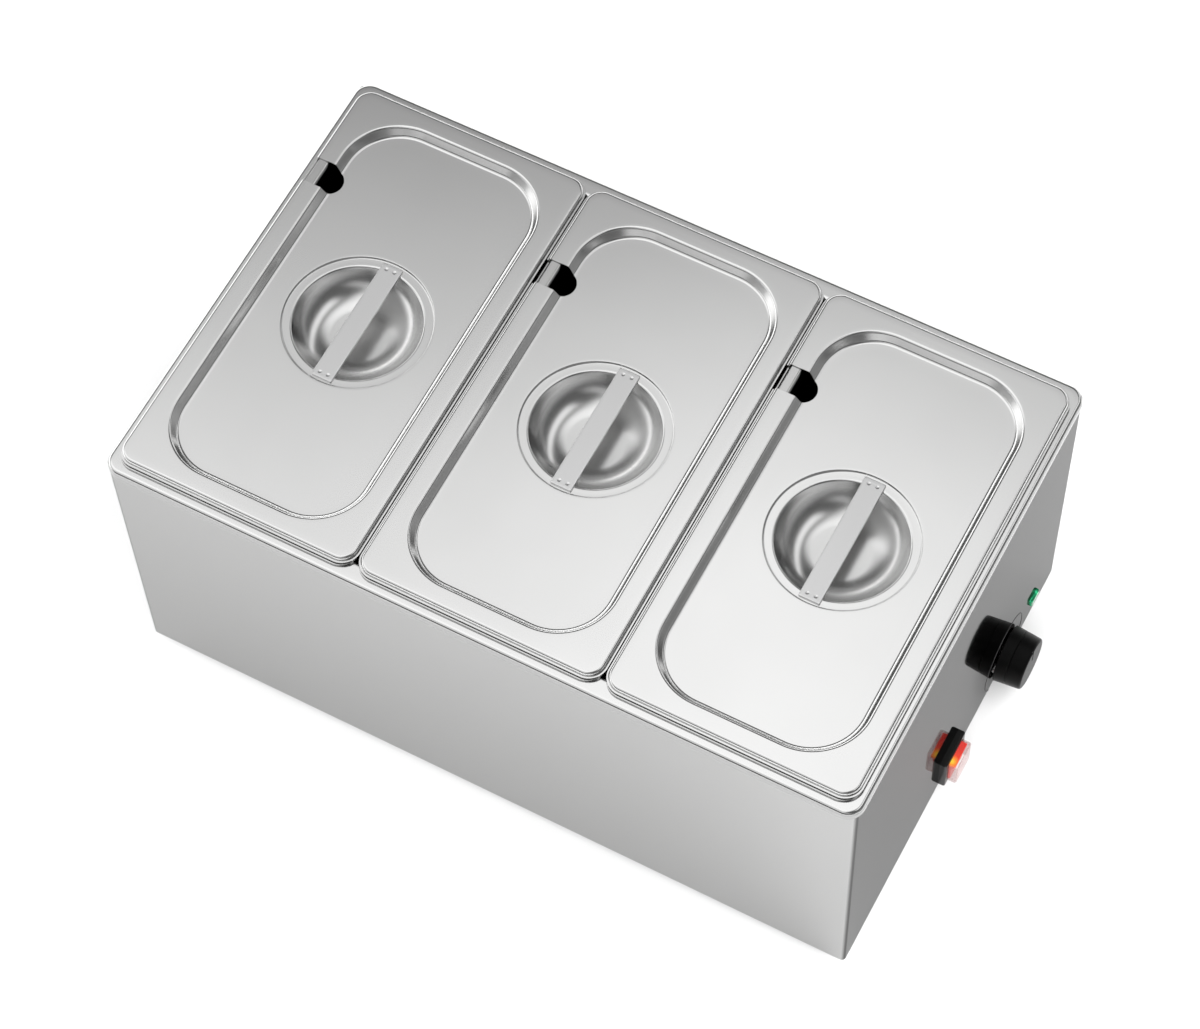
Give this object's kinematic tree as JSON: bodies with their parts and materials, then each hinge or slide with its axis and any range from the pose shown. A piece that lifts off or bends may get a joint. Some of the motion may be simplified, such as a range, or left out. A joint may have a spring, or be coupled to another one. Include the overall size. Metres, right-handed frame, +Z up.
{
  "type": "steam table unit",
  "caption": "Countertop electric steam table: a brushed steel casing with a hot-water basin, lift-out food pans in a row, notched lids with strap handles, and a knob, lit switch and lamp.",
  "frame": {"origin": "on the surface that the unit stands on, under the middle of the body", "axes": "+Z up; the control panel faces -Y and the cable entry faces +Y, so Y is the long side; X runs across, with the knob at +X"},
  "size_m": [0.34, 0.5786, 0.2564],
  "materials": {
    "casing_steel": "fine satin brushing, semi-gloss",
    "basin_steel": "satin, deep drawn",
    "plate_steel": "mill finish",
    "screw_steel": "bright zinc",
    "pan_steel": "satin, deep drawn",
    "lid_steel": "satin with a polished bowl",
    "handle_steel": "satin strip",
    "spreader_aluminium": "mill finish",
    "element_sheath": "heat-darkened",
    "ceramic_white": "matte",
    "thermostat_case": "plain",
    "sensor_copper": "bare copper",
    "shaft_steel": "turned",
    "knob_plastic": "satin black moulding",
    "dial_ink": "printed",
    "switch_black": "satin black moulding",
    "rocker_red": "translucent, lit from inside",
    "cover_clear": "clear splash cover",
    "lamp_green": "translucent, lit from inside",
    "lamp_white": "plain",
    "block_ivory": "plain",
    "gland_black": "moulded nylon",
    "seal_rubber": "soft seal",
    "foot_rubber": "moulded rubber",
    "wire_brown": "wire insulation",
    "wire_blue": "wire insulation",
    "wire_green": "wire insulation",
    "wire_black": "wire insulation"
  },
  "bodies": {
    "root": {"casing": "casing_steel", "water_basin": "basin_steel", "base_plate": "plate_steel", "base_screws": "screw_steel", "foot_front_left": "foot_rubber", "foot_front_right": "foot_rubber", "foot_rear_left": "foot_rubber", "foot_rear_right": "foot_rubber", "foot_screws": "screw_steel", "foot_nuts": "screw_steel", "heat_spreader": "spreader_aluminium", "heating_element": "element_sheath", "clamp_front": "plate_steel", "clamp_rear": "plate_steel", "clamp_studs": "screw_steel", "clamp_nuts": "screw_steel", "safety_cutout": "ceramic_white", "cutout_screws": "screw_steel", "thermostat_body": "thermostat_case", "thermostat_screws": "screw_steel", "thermostat_sensor": "sensor_copper", "sensor_clip": "screw_steel", "dial_scale": "dial_ink", "switch_body": "switch_black", "switch_frame": "switch_black", "switch_cover": "cover_clear", "lamp_lens": "lamp_green", "lamp_body": "lamp_white", "terminal_block": "block_ivory", "terminal_screws": "screw_steel", "earth_stud": "screw_steel", "earth_nuts": "screw_steel", "gland_body": "gland_black", "gland_seal": "seal_rubber", "gland_cap": "gland_black", "gland_nut": "gland_black", "wire_live": "wire_brown", "wire_neutral": "wire_blue", "wire_earth": "wire_green", "wire_switched": "wire_black"},
    "pan_1": {"pan_1": "pan_steel"},
    "lid_1": {"lid_1": "lid_steel", "handle_1": "handle_steel"},
    "pan_2": {"pan_2": "pan_steel"},
    "lid_2": {"lid_2": "lid_steel", "handle_2": "handle_steel"},
    "pan_3": {"pan_3": "pan_steel"},
    "lid_3": {"lid_3": "lid_steel", "handle_3": "handle_steel"},
    "knob": {"temperature_knob": "knob_plastic", "thermostat_shaft": "shaft_steel"},
    "rocker": {"switch_rocker": "rocker_red"}
  },
  "joints": [
    {"name": "pan_1_lift", "type": "slide", "parent": "root", "child": "pan_1", "axis": [0, 0, 1], "range_m": [0, 0.165]},
    {"name": "lid_1_lift", "type": "slide", "parent": "pan_1", "child": "lid_1", "axis": [0, 0, 1], "range_m": [0, 0.05]},
    {"name": "pan_2_lift", "type": "slide", "parent": "root", "child": "pan_2", "axis": [0, 0, 1], "range_m": [0, 0.165]},
    {"name": "lid_2_lift", "type": "slide", "parent": "pan_2", "child": "lid_2", "axis": [0, 0, 1], "range_m": [0, 0.05]},
    {"name": "pan_3_lift", "type": "slide", "parent": "root", "child": "pan_3", "axis": [0, 0, 1], "range_m": [0, 0.165]},
    {"name": "lid_3_lift", "type": "slide", "parent": "pan_3", "child": "lid_3", "axis": [0, 0, 1], "range_m": [0, 0.05]},
    {"name": "knob_turn", "type": "hinge", "parent": "root", "child": "knob", "pos_m": [0.081, -0.28, 0.03], "axis": [0, 1, 0], "range_deg": [0, 270]},
    {"name": "rocker_press", "type": "hinge", "parent": "root", "child": "rocker", "pos_m": [-0.0075, -0.2708, 0.03], "axis": [-1, 0, 0], "range_deg": [0, 14]}
  ]
}
